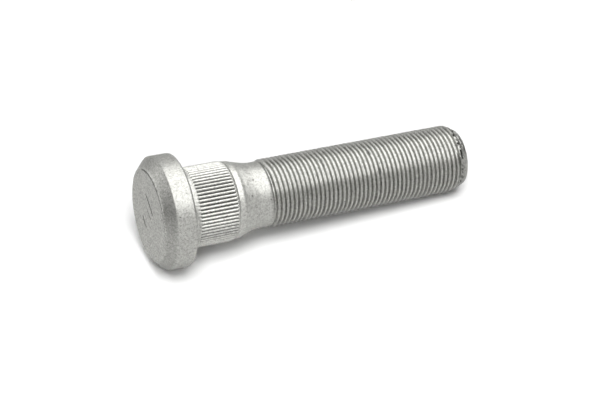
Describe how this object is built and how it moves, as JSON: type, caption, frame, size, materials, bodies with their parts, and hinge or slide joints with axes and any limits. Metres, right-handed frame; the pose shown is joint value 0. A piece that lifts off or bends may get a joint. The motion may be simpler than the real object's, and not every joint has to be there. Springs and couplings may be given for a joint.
{
  "type": "wheel stud",
  "caption": "Press-in wheel stud with a round chamfered head, a straight knurl for the hub, a tapered neck and a long metric thread for the wheel nut.",
  "frame": {"origin": "centre of the threaded end's flat face, on which the stud stands", "axes": "+Z along the stud's axis, from the threaded end up to the head; X and Y are free, since the stud is round"},
  "size_m": [0.0364, 0.0364, 0.1071],
  "materials": {
    "coated_steel": "satin silver-grey zinc-flake coating on forged steel"
  },
  "bodies": {
    "root": {"wheel_stud": "coated_steel"}
  },
  "joints": []
}
